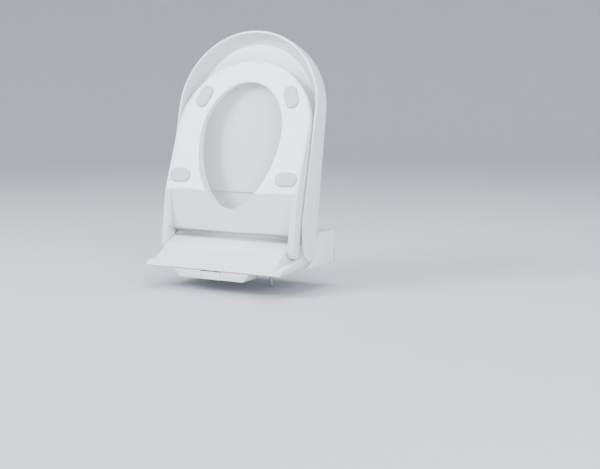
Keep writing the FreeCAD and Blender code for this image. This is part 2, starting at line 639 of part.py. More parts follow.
node("release_button", make_release_button())
node("release_spring", make_spring())
node("latch_bracket", make_latch_bracket())


# ---------------------------------------------------------------- water path
def make_inlet():
    body = rod("inlet_body", "Z", "inlet_x", "inlet_y", 0.3, 28, 11)
    bore = rod("inlet_thread", "Z", "inlet_x", "inlet_y", 0, 18.3, "inlet_bore")
    spout = rod("inlet_spout", "X", "inlet_x + 10", "inlet_y", 24, 4.8, 3.5)
    return cut("inlet_fitting_shape", fuse("inlet_solid", body, spout), bore)


def make_valve():
    body = box("valve_body", "valve_x - 15", "valve_x + 15", "valve_y - 12", "valve_y + 12", 8, 28)
    coil = rod("valve_coil", "Z", "valve_x", "valve_y", 28, 22, 9)
    bore = rod("valve_bore", "Z", "valve_x", "valve_y", 14, 33, "plunger_r + 0.05")
    return cut("solenoid_valve_shape", fuse("valve_solid", body, coil), bore)


def make_flow_heater():
    tank = box("heater_tank", -148, -88, 42, 90, 6, 46)
    cap = box("heater_cap", -143, -93, 47, 85, 46, 52)
    return fuse("flow_heater_shape", tank, cap)


def make_pump():
    can = rod("pump_can", "X", -72, 70, 22, 34, 15)
    head = rod("pump_head", "X", -38, 70, 22, 12, 12)
    foot = box("pump_foot", -70, -40, 60, 80, "wall", 9)
    return fuse("water_pump_shape", can, head, foot)


def make_hoses():
    return fuse("water_hoses_shape", rod("hose_valve", "Y", "valve_x", 32, 18, 10, 4),
                rod("hose_pump", "X", -88, 70, 22, 16, 4), rod("hose_wand", "X", -26, 70, 22, 10, 3.5))


node("inlet_fitting", make_inlet())
node("solenoid_valve", make_valve())
node("valve_plunger", rod("valve_plunger_shape", "Z", "valve_x", "valve_y", 14.3, 26, "plunger_r"))
node("flow_heater", make_flow_heater())
node("water_pump", make_pump())
node("water_hoses", make_hoses())


# ---------------------------------------------------------------- electrics
def make_control_board():
    sheet = box("board_sheet", -8, 66, 40, 92, 9, 10.6)
    chips = [box("chip_%d" % index, x, x + size, y, y + size, 10.5, 10.5 + tall)
             for index, (x, y, size, tall) in enumerate(((4, 50, 14, 2), (28, 62, 9, 3), (46, 48, 12, 11),
                                                         (8, 74, 10, 8), (46, 74, 12, 6)))]
    feet = [rod("board_foot_%d" % index, "Z", x, y, "wall", 6.1, 2.5)
            for index, (x, y) in enumerate(((-4, 44), (62, 44), (-4, 88), (62, 88)))]
    return fuse("control_board_shape", sheet, *chips, *feet)


def make_gland():
    body = rod("gland_body", "Z", "gland_x", "gland_y", 0.3, 20, 9)
    nut = rod("gland_nut", "Z", "gland_x", "gland_y", 20, 5, 7)
    return cut("power_gland_shape", fuse("gland_solid", body, nut),
               rod("gland_hole", "Z", "gland_x", "gland_y", -1, 30, "gland_bore"))


node("control_board", make_control_board())
node("power_supply", fuse("power_supply_shape", box("psu_case", 76, 148, 46, 92, 5, 36),
                          box("psu_feet", 80, 144, 50, 88, "wall", 5)))
node("power_gland", make_gland())


# ---------------------------------------------------------------- odour extraction
def make_fan_housing():
    outer = rod("fan_outer", "Z", "fan_x", "fan_y", "fan_low", "fan_high - fan_low", "fan_r")
    outlet = box("fan_outlet", "fan_x", "fan_x + 29.8", "fan_y - 26", "fan_y - 10", "fan_low + 2", "fan_high - 2")
    inner = rod("fan_inner", "Z", "fan_x", "fan_y", "fan_low + 2", "fan_high - fan_low - 4", "fan_r - 2")
    duct = box("fan_duct", "fan_x", "fan_x + 31", "fan_y - 24", "fan_y - 12", "fan_low + 4", "fan_high - 4")
    intake = rod("fan_intake", "Z", "fan_x", "fan_y", "fan_high - 3", 5, 13)
    return cut("fan_housing_shape", fuse("fan_solid", outer, outlet), inner, duct, intake)


def make_impeller():
    hub = cut("impeller_hub", rod("impeller_cup", "Z", "fan_x", "fan_y", "fan_low + 4", 12, 11),
              rod("impeller_inside", "Z", "fan_x", "fan_y", "fan_low + 3", 11, 9))
    blades = []
    for index in range(8):
        blade = box("blade_%d" % index, 0, 11, -0.6, 0.6, 0, 10)
        angle = index * 45
        blades.append(moved(blade, value("fan_x") + 10 * math.cos(math.radians(angle)),
                            value("fan_y") + 10 * math.sin(math.radians(angle)), value("fan_low") + 5,
                            angle + 20))
    return fuse("fan_impeller_shape", hub, *blades)


node("fan_housing", make_fan_housing())
node("fan_impeller", make_impeller())
node("fan_motor", rod("fan_motor_shape", "Z", "fan_x", "fan_y", "fan_low + 2.2", 11, 8))
node("carbon_filter", box("carbon_filter_shape", 115.2, 162, -22, 8, 10, 34))


# ---------------------------------------------------------------- check and write
doc.recompute()
for obj in doc.Objects:
    if "Invalid" in obj.State or "Error" in obj.State:
        raise RuntimeError("%s did not build: %s" % (obj.Name, obj.State))
for name, obj in NODES.items():
    shape = obj.Shape
    if shape.isNull() or not shape.isValid() or shape.Volume < 1 or not shape.Solids:
        raise RuntimeError("%s has no valid solid" % name)
    shape.exportStep("parts/%s.step" % name)
    print("%-26s %2d solid(s) %10.0f mm3  %s" % (name, len(shape.Solids), shape.Volume, shape.BoundBox))
print(len(NODES), "nodes")
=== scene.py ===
"""Electric bidet seat, lid and ring raised: the looks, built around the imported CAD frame.

Shapes are written in millimetres in the row frame (+X right, +Y to the wall, +Z up), with the
lid and the seat ring closed, and are swung open about their hinges when their mesh is made.
"""

import json
import math

import bmesh
import bpy
from mathutils import Matrix, Vector


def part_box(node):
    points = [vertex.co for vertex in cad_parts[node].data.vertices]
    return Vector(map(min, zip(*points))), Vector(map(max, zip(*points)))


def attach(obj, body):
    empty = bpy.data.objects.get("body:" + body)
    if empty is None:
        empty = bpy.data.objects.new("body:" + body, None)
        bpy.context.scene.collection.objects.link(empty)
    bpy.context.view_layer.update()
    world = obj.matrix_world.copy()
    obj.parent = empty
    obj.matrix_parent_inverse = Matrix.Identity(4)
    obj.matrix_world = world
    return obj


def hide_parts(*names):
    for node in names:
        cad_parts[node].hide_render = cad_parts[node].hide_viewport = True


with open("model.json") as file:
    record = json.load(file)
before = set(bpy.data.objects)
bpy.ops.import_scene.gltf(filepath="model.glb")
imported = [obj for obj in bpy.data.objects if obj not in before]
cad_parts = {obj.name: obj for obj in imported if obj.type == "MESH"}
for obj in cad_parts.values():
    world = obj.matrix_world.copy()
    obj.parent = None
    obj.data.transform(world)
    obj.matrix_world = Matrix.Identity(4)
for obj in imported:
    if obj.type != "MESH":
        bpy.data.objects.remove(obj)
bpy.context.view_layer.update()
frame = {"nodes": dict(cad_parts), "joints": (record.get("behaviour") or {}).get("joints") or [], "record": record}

MM = 0.001
JOINTS = {joint["name"]: joint for joint in frame["joints"]}

# ------------------------------------------------------------------ driving sizes (mm)
HALF_WIDTH = 187.5
BACK_Y = 100
BLOCK_Y = 20.5
BLOCK_TOP = 76
RIM_GAP = 0.8

LID_PIVOT = Vector(JOINTS["lid_hinge"]["pos_m"]) / MM
LID_SWING = math.radians(JOINTS["lid_hinge"]["range_deg"][1])
LID_TIP = -488
LID_ELLIPSE_Y = -308
LID_TOP = 67.5
LID_FALL = 0.0696
LID_RIM_Z = 1.5
LID_RIM = 5.2
LID_SKIN = 4
LINER_INSET = 24.5
LINER_REAR = -120
LINER_THICK = 3.2
EAR_X = 181.3
EAR_R = 32.5

SEAT_PIVOT = Vector(JOINTS["seat_hinge"]["pos_m"]) / MM
SEAT_SWING = -math.radians(JOINTS["seat_hinge"]["range_deg"][0])
SEAT_HALF = 179
SEAT_TIP = -478.5
SEAT_ELLIPSE_Y = -311.5
SEAT_UNDER = 4.5
PLATE_TOP = 7.5
ARM_R = 19
ARM_X = 163.5
ARM_TOP = 58.5
ARM_TANGENT = (-48.7, 28.4)
HOLE_Y = -302.5
HOLE_HALF = 108
HOLE_FRONT = 125
HOLE_REAR = 171
FOLD_Y = -166.5
BRIDGE_Y = -83
BRIDGE_Z = 43

FRONT_Y = -131
LIP_Y = -122
LIP_Z = 11
HOUSING_Y = -31.5
RIDGE_Z = 59
RAMP_HALF = 160
SHOULDER_HALF = 180
BARREL_R = 17
BARREL_HALF = 176
SHOULDER_Z = 10.5
SHOULDER_SLOPE = 0.2
COVER_WALL = 2.4
CHEEK_X = 181.0
CHEEK_EDGE = 2.4
CRADLE_R = 34.0

BUMPER_R = 17.0
BUMPER_REACH = 11.0
BUMPER_H = 4.5
REAR_BUMPER = (143, -200.5, 0)
FRONT_BUMPER = (118, -392, 66)

# ------------------------------------------------------------------ camera and studio sizes (m)
CAMERA_PLACE = (1.4825, -2.2408, 0.4501)
CAMERA_YAW, CAMERA_PITCH, CAMERA_ROLL = 30.656, 8.197, -0.523
CAMERA_LENS = 70.64
FLOOR_FLAT_R = 3.6
FLOOR_CURVE_R = 2.4
FLOOR_WALL_TOP = 3.2


# ------------------------------------------------------------------ curves
def arc(centre, radius, start, end, count):
    """Points of a circular arc, with angles in degrees."""
    return [(centre[0] + radius * math.cos(math.radians(start + (end - start) * i / count)),
             centre[1] + radius * math.sin(math.radians(start + (end - start) * i / count)))
            for i in range(count + 1)]


def rounded(corners, steps=5):
    """An open or closed outline of (a, b, radius) corners, as points with its corners turned into arcs."""
    points = []
    last = len(corners) - 1
    for index, (a, b, radius) in enumerate(corners):
        here = Vector((a, b))
        if radius <= 0:
            points.append((a, b))
            continue
        before = Vector(corners[index - 1][:2]) - here
        after = Vector(corners[(index + 1) % (last + 1)][:2]) - here
        half = before.angle(after) / 2
        reach = min(radius / math.tan(half), 0.49 * before.length, 0.49 * after.length)
        start, end = here + before.normalized() * reach, here + after.normalized() * reach
        for i in range(steps + 1):
            t = i / steps
            points.append(tuple((1 - t) ** 2 * start + 2 * t * (1 - t) * here + t ** 2 * end))
    return points


def along(points, y):
    """Height at y on a polyline of (y, z) points, eased at its corners by averaging over 6 mm."""
    def straight(at):
        for (y0, z0), (y1, z1) in zip(points, points[1:]):
            if min(y0, y1) <= at <= max(y0, y1):
                return z0 + (z1 - z0) * (at - y0) / (y1 - y0)
        return points[0][1] if abs(at - points[0][0]) < abs(at - points[-1][0]) else points[-1][1]
    offsets = (-6, -4, -2, 0, 2, 4, 6)
    return sum(straight(y + offset) for offset in offsets) / len(offsets)


# ------------------------------------------------------------------ meshes
def new_piece(name, points, faces, material, body, nodes, turn=None, sharp=32):
    """A piece from points in millimetres, smooth but for edges sharper than an angle."""
    mesh = bpy.data.meshes.new(name)
    mesh.from_pydata([Vector(p) * MM for p in points], [], faces)
    work = bmesh.new()
    work.from_mesh(mesh)
    bmesh.ops.remove_doubles(work, verts=work.verts, dist=0.00001)
    bmesh.ops.dissolve_degenerate(work, edges=work.edges, dist=0.00001)
    bmesh.ops.recalc_face_normals(work, faces=work.faces)
    if turn:
        work.transform(turn)
    work.to_mesh(mesh)
    work.free()
    mesh.shade_smooth()
    mesh.set_sharp_from_angle(angle=math.radians(sharp))
    piece = bpy.data.objects.new(name, mesh)
    bpy.context.scene.collection.objects.link(piece)
    return finish_piece(piece, material, body, nodes)


def finish_piece(piece, material, body, nodes):
    piece.data.materials.clear()
    piece.data.materials.append(MATERIALS[material])
    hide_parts(*nodes)
    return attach(piece, body)


def opening_turn(pivot, angle):
    """The swing that opens a part about a hinge along X."""
    place = Matrix.Translation(pivot * MM)
    return place @ Matrix.Rotation(-angle, 4, "X") @ place.inverted()


def half_sweep(sections):
    """Closed sections of equal length, from the rear to the front tip, and their mirror image.

    Faces that would lie on the symmetry plane are left out, so the halves join there.
    """
    points = [point for section in sections for point in section]
    count = len(sections[0])
    faces = [tuple(range(count))]
    for row in range(len(sections) - 1):
        for index in range(count):
            step = (index + 1) % count
            face = (row * count + index, row * count + step, (row + 1) * count + step,
                    (row + 1) * count + index)
            if any(abs(points[corner][0]) > 0.01 for corner in face):
                faces.append(face)
    total = len(points)
    points += [(-x, y, z) for x, y, z in points]
    faces += [tuple(total + corner for corner in reversed(face)) for face in faces]
    return points, faces


def inward(outer, inner, distance, z):
    """A point at a distance from the outer plan point towards the inner one."""
    way = Vector(inner) - Vector(outer)
    place = Vector(outer) + way * (distance / way.length if way.length > 0.001 else 0)
    return (place.x, place.y, z)


def softened(node, material, body, width, segments=2, sharp=30):
    """The CAD solid with its flat facets merged and its edges rounded."""
    source = frame["nodes"][node]
    mesh = source.data.copy()
    work = bmesh.new()
    work.from_mesh(mesh)
    bmesh.ops.remove_doubles(work, verts=work.verts, dist=0.00001)
    bmesh.ops.dissolve_limit(work, angle_limit=math.radians(0.5), verts=work.verts, edges=work.edges)
    edges = [e for e in work.edges if len(e.link_faces) == 2 and e.calc_face_angle(0) > math.radians(sharp)]
    bmesh.ops.bevel(work, geom=edges, offset=width * MM, offset_type="OFFSET", segments=segments,
                    profile=0.5, affect="EDGES", clamp_overlap=True, loop_slide=True)
    bmesh.ops.triangulate(work, faces=[f for f in work.faces if len(f.verts) > 4])
    work.to_mesh(mesh)
    work.free()
    mesh.shade_smooth()
    mesh.set_sharp_from_angle(angle=math.radians(sharp))
    piece = bpy.data.objects.new(node + "_moulded", mesh)
    bpy.context.scene.collection.objects.link(piece)
    return finish_piece(piece, material, body, [node])


# ------------------------------------------------------------------ materials
def node_material(name):
    material = bpy.data.materials.new(name)
    material.use_nodes = True
    nodes = material.node_tree.nodes
    return material, nodes, material.node_tree.links, nodes["Principled BSDF"]


def mottle(nodes, links, scale, detail, low, high, target, stretch=(1, 1, 1)):
    """Noise in object space mapped to a range and sent to a socket."""
    place = nodes.new("ShaderNodeTexCoord")
    mapping = nodes.new("ShaderNodeMapping")
    mapping.inputs["Scale"].default_value = stretch
    noise = nodes.new("ShaderNodeTexNoise")
    noise.inputs["Scale"].default_value = scale
    noise.inputs["Detail"].default_value = detail
    links.new(place.outputs["Object"], mapping.inputs["Vector"])
    links.new(mapping.outputs["Vector"], noise.inputs["Vector"])
    if target.type == "RGBA":
        blend = nodes.new("ShaderNodeMix")
        blend.data_type = "RGBA"
        blend.inputs["A"].default_value = low
        blend.inputs["B"].default_value = high
        links.new(noise.outputs["Fac"], blend.inputs["Factor"])
        links.new(blend.outputs["Result"], target)
    else:
        span = nodes.new("ShaderNodeMapRange")
        span.inputs["To Min"].default_value = low
        span.inputs["To Max"].default_value = high
        links.new(noise.outputs["Fac"], span.inputs["Value"])
        links.new(span.outputs["Result"], target)
    return noise


def shade(colour, factor):
    return tuple(min(1.0, c * factor) for c in colour) + (1.0,)


def moulded(name, colour, rough, grain, bump, coat=0.0, metallic=0.0, stretch=(1, 1, 1), spread=0.04):
    """A surface whose colour, roughness and relief all vary slightly at the grain's scale."""
    material, nodes, links, shader = node_material(name)
    mottle(nodes, links, 9, 3, shade(colour, 1 - spread), shade(colour, 1 + spread / 2),
           shader.inputs["Base Color"])
    mottle(nodes, links, grain * 0.35, 4, rough * 0.85, rough * 1.2, shader.inputs["Roughness"], stretch)
    relief = nodes.new("ShaderNodeBump")
    relief.inputs["Distance"].default_value = 0.0002
    relief.inputs["Strength"].default_value = bump
    links.new(relief.outputs["Normal"], shader.inputs["Normal"])
    mottle(nodes, links, grain, 2, 0.0, 1.0, relief.inputs["Height"], stretch)
    shader.inputs["Metallic"].default_value = metallic
    shader.inputs["Coat Weight"].default_value = coat
    shader.inputs["Coat Roughness"].default_value = 0.06
    return material


def make_materials():
    return {
        "white_gloss": moulded("white_gloss", (0.90, 0.91, 0.93), 0.2, 900, 0.03, coat=0.35, spread=0.012),
        "wand_white": moulded("wand_white", (0.78, 0.80, 0.81), 0.3, 1200, 0.05, spread=0.015),
        "soft_grey": moulded("soft_grey", (0.64, 0.66, 0.70), 0.45, 1500, 0.12, spread=0.03),
        "tray_grey": moulded("tray_grey", (0.52, 0.54, 0.56), 0.5, 1400, 0.15),
        "lens": moulded("lens", (0.72, 0.78, 0.84), 0.25, 700, 0.05, coat=0.3),
        "damper_grey": moulded("damper_grey", (0.07, 0.072, 0.076), 0.45, 1200, 0.12),
        "acetal": moulded("acetal", (0.74, 0.73, 0.68), 0.38, 1100, 0.06),
        "steel": moulded("steel", (0.52, 0.53, 0.55), 0.28, 500, 0.08, metallic=1.0, stretch=(1, 1, 14)),
        "foil": moulded("foil", (0.6, 0.61, 0.62), 0.35, 300, 0.3, metallic=1.0),
        "brass": moulded("brass", (0.62, 0.46, 0.18), 0.25, 600, 0.08, metallic=1.0, stretch=(1, 1, 10)),
        "black_plastic": moulded("black_plastic", (0.025, 0.025, 0.028), 0.42, 1300, 0.15),
        "black_rubber": moulded("black_rubber", (0.02, 0.02, 0.022), 0.6, 1600, 0.2),
        "hose": moulded("hose", (0.5, 0.53, 0.56), 0.35, 800, 0.06),
        "tank_plastic": moulded("tank_plastic", (0.12, 0.13, 0.14), 0.45, 1200, 0.12),
        "board_green": moulded("board_green", (0.012, 0.11, 0.035), 0.3, 1000, 0.08, coat=0.4),
    }


# ------------------------------------------------------------------ lid
def lid_line(y, drop=0.0):
    return LID_TOP - LID_FALL * (LID_PIVOT.y - y) - drop


def lid_rows():
    """Plan pairs from the rear of an ear to the tip: the outer point, the point inwards, and if full."""
    rows = [((HALF_WIDTH, LID_PIVOT.y + EAR_R * math.cos(math.radians(a))), False) for a in range(0, 88, 6)]
    rows += [((HALF_WIDTH, y), False) for y in (-7, -12, -17, -20.5, -23)]
    plans = [(outer, (0, outer[1]), full) for outer, full in rows]
    for y in [-23, -24.2, -26, -30, -36, -43, -50, -55] + list(range(-70, LID_ELLIPSE_Y, -14)):
        plans.append(((HALF_WIDTH, y), (0, y), True))
    steps = 64
    for index in range(steps + 1):
        angle = math.pi / 2 * index / steps
        outer = (HALF_WIDTH * math.cos(angle), LID_ELLIPSE_Y + (LID_TIP - LID_ELLIPSE_Y) * math.sin(angle))
        plans.append((outer, (0, LID_ELLIPSE_Y), True))
    return plans


def lid_rim(y):
    """Height of the lid's lower edge: level, then rising to the round ear."""
    arc_floor = LID_PIVOT.z - math.sqrt(max(0.0, EAR_R ** 2 - (y - LID_PIVOT.y) ** 2))
    rise = LID_RIM_Z + 0.3 * max(0.0, y + 50)
    if y > 4:
        return max(rise, arc_floor) if y < 20 else arc_floor
    return rise


def lid_crown(y):
    """Height of the top face, rounded down to the rear end of the ear."""
    start = 5
    if y <= start:
        return lid_line(y)
    share = min(1.0, (y - start) / (LID_PIVOT.y + EAR_R - start))
    return LID_PIVOT.z + (lid_line(y) - LID_PIVOT.z) * math.sqrt(max(0.0, 1 - share * share))


def lid_section(outer, inner, full):
    """One slice of the lid: crown, rounded edge, skirt, thin rim, inner wall and wide cove."""
    y = outer[1]
    low, high = lid_rim(y), lid_crown(y)
    depth = (Vector(inner) - Vector(outer)).length
    if not full:
        edge = max(0.02, min(2.6, (high - low) / 2.2))
        thick = HALF_WIDTH - EAR_X
        inside = min(edge, 1.2)
        outline = ([(thick, high)] * 5 + arc((edge, high - edge), edge, 90, 180, 6) +
                   arc((edge, low + edge), edge, 180, 270, 6) +
                   arc((thick - inside, low + inside), inside, 270, 360, 6) + [(thick, high)] * 15)
    else:
        cove = 17.0
        roof = lid_line(y, LID_SKIN)
        wall = LID_RIM + 0.6
        outline = ([(depth, high), (depth * 0.75, high), (depth * 0.5, high), (max(0.3 * depth, 12), high),
                    (8, high)] +
                   arc((2.6, high - 2.6), 2.6, 90, 180, 6) +
                   arc((1.6, low + 1.6), 1.6, 180, 270, 6) +
                   arc((LID_RIM - 1.2, low + 1.2), 1.2, 270, 360, 6) +
                   [(wall, (low + roof - cove) / 2)] +
                   arc((wall + cove, roof - cove), cove, 180, 90, 9) +
                   [(max(0.35 * depth, wall + cove + 4), roof), (depth * 0.5, roof), (depth * 0.75, roof),
                    (depth, roof)])
    return [inward(outer, inner, min(distance, depth) if full else distance,
                   z + slope_fix(outer, inner, distance, z, y)) for distance, z in outline]


def slope_fix(outer, inner, distance, z, y):
    """The top and the roof slope along Y, so a point away from the outline follows that slope."""
    way = Vector(inner) - Vector(outer)
    if way.length < 0.001:
        return 0.0
    moved = way.y * distance / way.length
    share = max(0.0, min(1.0, (z - LID_RIM_Z) / (lid_line(y) - LID_SKIN - LID_RIM_Z)))
    return LID_FALL * moved * share


def make_lid():
    sections = [lid_section(*plan) for plan in lid_rows()]
    points, faces = half_sweep(sections)
    return new_piece("lid_cover", points, faces, "white_gloss", "lid", ["lid_shell"],
                     opening_turn(LID_PIVOT, LID_SWING))


def make_liner():
    """The inner panel, a thin sheet set in the roof of the lid with a rounded edge."""
    half, tip = HALF_WIDTH - LINER_INSET, LID_TIP + LINER_INSET
    rear_ys = [LINER_REAR, LINER_REAR - 1, LINER_REAR - 4]
    plans = [((half, y), (0, y)) for y in rear_ys + list(range(LINER_REAR - 16, LID_ELLIPSE_Y, -14))]
    steps = 56
    for index in range(steps + 1):
        angle = math.pi / 2 * index / steps
        plans.append(((half * math.cos(angle), LID_ELLIPSE_Y + (tip - LID_ELLIPSE_Y) * math.sin(angle)),
                      (0, LID_ELLIPSE_Y)))
    sections = []
    for outer, inner in plans:
        depth = (Vector(inner) - Vector(outer)).length
        profile = [(depth, 0.3), (10, 0.3), (0, 0.3), (0, 0.9), (0.5, 1.7), (1.4, 2.4), (2.8, 2.9),
                   (5, 3.1), (12, LINER_THICK), (depth * 0.6, LINER_THICK), (depth, LINER_THICK)]
        rows = []
        for distance, drop in profile:
            place = inward(outer, inner, min(distance, depth), 0)
            rows.append((place[0], place[1], lid_line(place[1], LID_SKIN + drop)))
        sections.append(rows)
    points, faces = half_sweep(sections)
    return new_piece("lid_inner_panel", points, faces, "white_gloss", "lid", ["lid_liner"],
                     opening_turn(LID_PIVOT, LID_SWING))


# ------------------------------------------------------------------ seat ring
SEAT_TOP_LINE = [(-20, ARM_TOP + 0.5), (SEAT_PIVOT.y, ARM_TOP), (-111, 46.5), (-166, 41), (-254, 29),
                 (-361, 19), (-490, 11.8)]


def hole_x(y):
    reach = HOLE_REAR if y > HOLE_Y else HOLE_FRONT
    return HOLE_HALF * math.sqrt(max(0.0, 1 - ((y - HOLE_Y) / reach) ** 2))


def slope_z(y):
    """Underside of the middle: level to the fold, then rising to the bridge's rear edge."""
    return max(SEAT_UNDER, SEAT_UNDER + (BRIDGE_Z - SEAT_UNDER) * (y - FOLD_Y) / (BRIDGE_Y - FOLD_Y))


def arm_floor(y):
    """Underside of an arm, rising from the fold to its tangent with the round knuckle."""
    if y < FOLD_Y:
        return SEAT_UNDER
    if y < ARM_TANGENT[0]:
        return SEAT_UNDER + (ARM_TANGENT[1] - SEAT_UNDER) * (y - FOLD_Y) / (ARM_TANGENT[0] - FOLD_Y)
    return SEAT_PIVOT.z - math.sqrt(max(0.0, ARM_R ** 2 - (y - SEAT_PIVOT.y) ** 2))


def arm_crown(y):
    reach = max(0.0, ARM_R ** 2 - (y - SEAT_PIVOT.y) ** 2)
    if y > SEAT_PIVOT.y:
        return min(along(SEAT_TOP_LINE, y), SEAT_PIVOT.z + math.sqrt(reach))
    return along(SEAT_TOP_LINE, y)


def seat_rows():
    """Plan pairs from the knuckle to the tip: outer point, inner point, and which part of the ring."""
    rows = [((SEAT_HALF, SEAT_PIVOT.y + ARM_R * math.cos(math.radians(a))), (ARM_X, None), "arm")
            for a in range(0, 91, 6)]
    rows += [((SEAT_HALF, y), (ARM_X, None), "arm") for y in (-56, -60, -66, -72, -78, -83)]
    plans = [(outer, (inner[0], outer[1]), part) for outer, inner, part in rows]
    rear_ys = [-83, -84.5, -87, -91, -96, -102, -108, -114, -120, -125, -129, -131]
    plans += [((SEAT_HALF, y), (0, y), "bridge") for y in rear_ys]
    for index in range(1, 23):
        y = HOLE_Y + HOLE_REAR * math.cos(math.pi / 2 * index / 26)
        if y > FOLD_Y:
            plans.append(((SEAT_HALF, y), (hole_x(y), y), "bridge"))
    plans.append(((SEAT_HALF, FOLD_Y), (hole_x(FOLD_Y), FOLD_Y), "bridge"))
    for y in [FOLD_Y - 0.01, -170, -175] + list(range(-184, int(SEAT_ELLIPSE_Y), -10)):
        plans.append(((SEAT_HALF, y), (hole_x(y), y), "ring"))
    steps = 64
    first = math.asin((HOLE_Y - SEAT_ELLIPSE_Y) / HOLE_FRONT)
    for index in range(steps + 1):
        angle = math.pi / 2 * index / steps
        inner_angle = first + (math.pi / 2 - first) * index / steps
        plans.append(((SEAT_HALF * math.cos(angle),
                       SEAT_ELLIPSE_Y + (SEAT_TIP - SEAT_ELLIPSE_Y) * math.sin(angle)),
                      (HOLE_HALF * math.cos(inner_angle), HOLE_Y - HOLE_FRONT * math.sin(inner_angle)),
                      "ring"))
    return plans


def seat_top_section(outer, inner, part):
    """One slice of the upper moulding: outer side, crowned top, rounded inner lip, underside."""
    depth = (Vector(outer) - Vector(inner)).length
    y = outer[1]
    high = arm_crown(y) if part == "arm" else along(SEAT_TOP_LINE, y)
    outer_low = arm_floor(y) if part != "ring" else PLATE_TOP + 0.25
    inner_low = outer_low if part == "arm" else (PLATE_TOP + 0.25 if part == "ring" else slope_z(y) + 3.2)
    tall = high - outer_low
    edge = max(0.02, min(7.0, 0.48 * tall))
    foot = max(0.01, min(1.2, 0.2 * tall))
    lip = max(0.02, min(7.0 if part != "arm" else 2.0, 0.48 * (high - inner_low)))
    step = SEAT_HALF - ARM_X if part != "ring" else min(SEAT_HALF - ARM_X, depth * 0.3)
    on_plane = part == "bridge" and inner[0] < 0.01
    outline = (arc((edge, high - edge), edge, 180, 90, 8)[::-1] +
               arc((foot, outer_low + foot), foot, 180, 270, 4))
    if part == "arm":
        near = max(0.01, min(1.2, 0.2 * tall))
        outline += arc((depth - near, outer_low + near), near, 270, 360, 4)
        outline += [(depth, outer_low + near)] * 2
        outline += arc((depth - lip, high - lip), lip, 0, 90, 8) + [(depth / 2, high)] * 3
    else:
        outline += [(step - 0.3, outer_low)] * 4
        outline += [(step, outer_low + 0.2), (step, inner_low), (depth, inner_low)]
        if on_plane:
            outline += [(depth, high)] * 9
        else:
            outline += arc((depth - lip, high - lip), lip, 0, 90, 8)
        outline += [(depth * 0.7, high + 0.3), (depth * 0.5, high + 0.4), (depth * 0.3, high + 0.3)]
    section = []
    for distance, z in outline:
        place = inward(outer, inner, distance, z)
        shift = along(SEAT_TOP_LINE, place[1]) - along(SEAT_TOP_LINE, y)
        share = max(0.0, min(1.0, (z - PLATE_TOP) / max(1.0, high - PLATE_TOP)))
        section.append((place[0], place[1], z + shift * share))
    return section


def make_seat_top():
    sections = [seat_top_section(*plan) for plan in seat_rows()]
    points, faces = half_sweep(sections)
    return new_piece("seat_ring_top", points, faces, "white_gloss", "seat", ["seat_top_shell"],
                     opening_turn(SEAT_PIVOT, SEAT_SWING))


def make_seat_plate():
    """The flat underside moulding, with its edges turned over and the rising bridge at the rear."""
    sections = []
    for outer, inner, part in seat_rows():
        if part == "arm":
            continue
        if part == "bridge":
            outer = (ARM_X - 0.25, outer[1])
        low = slope_z(outer[1])
        high = low + 2.9 if part == "bridge" else PLATE_TOP
        depth = (Vector(outer) - Vector(inner)).length
        on_plane = inner[0] < 0.01 and part == "bridge"
        roll = 1.6
        outline = arc((roll, low + roll), roll, 180, 270, 5) + [(depth * 0.35, low), (depth * 0.65, low)]
        if on_plane:
            outline += [(depth, low)] * 6 + [(depth, high)]
        else:
            outline += arc((depth - roll, low + roll), roll, 270, 360, 5) + [(depth - 0.2, high)]
        outline += [(depth * 0.5, high), (0.2, high)]
        sections.append([inward(outer, inner, distance, z) for distance, z in outline])
    points, faces = half_sweep(sections)
    return new_piece("seat_ring_underside", points, faces, "white_gloss", "seat", ["seat_base_plate"],
                     opening_turn(SEAT_PIVOT, SEAT_SWING))


def make_bumper(node, x, y, turn):
    """A soft pad with round ends: flared foot, domed face and, on the front pair, two grip ribs."""
    rings = []
    profile = [(0.0, 0.0), (0.0, 0.6), (0.5, 1.0), (0.7, 2.4), (1.0, 3.3), (1.8, 4.0), (3.2, 4.35),
               (6.0, BUMPER_H), (10.0, BUMPER_H), (14.0, BUMPER_H)]
    count = 24
    for inset, drop in profile:
        r = BUMPER_R - inset
        ring = arc((BUMPER_REACH, 0), r, -90, 90, count) + arc((-BUMPER_REACH, 0), r, 90, 270, count)
        rings.append([(a, b, SEAT_UNDER - drop) for a, b in ring])
    points = [p for ring in rings for p in ring]
    size = len(rings[0])
    faces = [(k * size + i, k * size + (i + 1) % size, (k + 1) * size + (i + 1) % size, (k + 1) * size + i)
             for k in range(len(rings) - 1) for i in range(size)]
    faces += [tuple(range(size)), tuple(range((len(rings) - 1) * size, len(rings) * size))]
    if "front" in node:
        for radius_in in (7.0, 11.0):
            faces, points = add_rib(points, faces, radius_in)
    turned = Matrix.Translation((x, y, 0)) @ Matrix.Rotation(math.radians(turn), 4, "Z")
    placed = [tuple(turned @ Vector(p)) for p in points]
    return new_piece(node + "_pad", placed, faces, "soft_grey", "seat", [node],
                     opening_turn(SEAT_PIVOT, SEAT_SWING))


def add_rib(points, faces, radius):
    """A low crescent rib around the pad's rear end."""
    start = len(points)
    ring = []
    steps = 14
    for i in range(steps + 1):
        angle = math.radians(115 + 130 * i / steps)
        swell = math.sin(math.pi * i / steps)
        for offset, lift in ((-0.9, 0.0), (-0.35, 0.38), (0.35, 0.38), (0.9, 0.0)):
            r = radius + offset * swell
            ring.append((-BUMPER_REACH + r * math.cos(angle), r * math.sin(angle),
                         SEAT_UNDER - BUMPER_H - lift * swell + 0.04))
    points = points + ring
    for i in range(steps):
        for j in range(3):
            a = start + i * 4 + j
            faces = faces + [(a, a + 1, a + 5, a + 4)]
    return faces, points


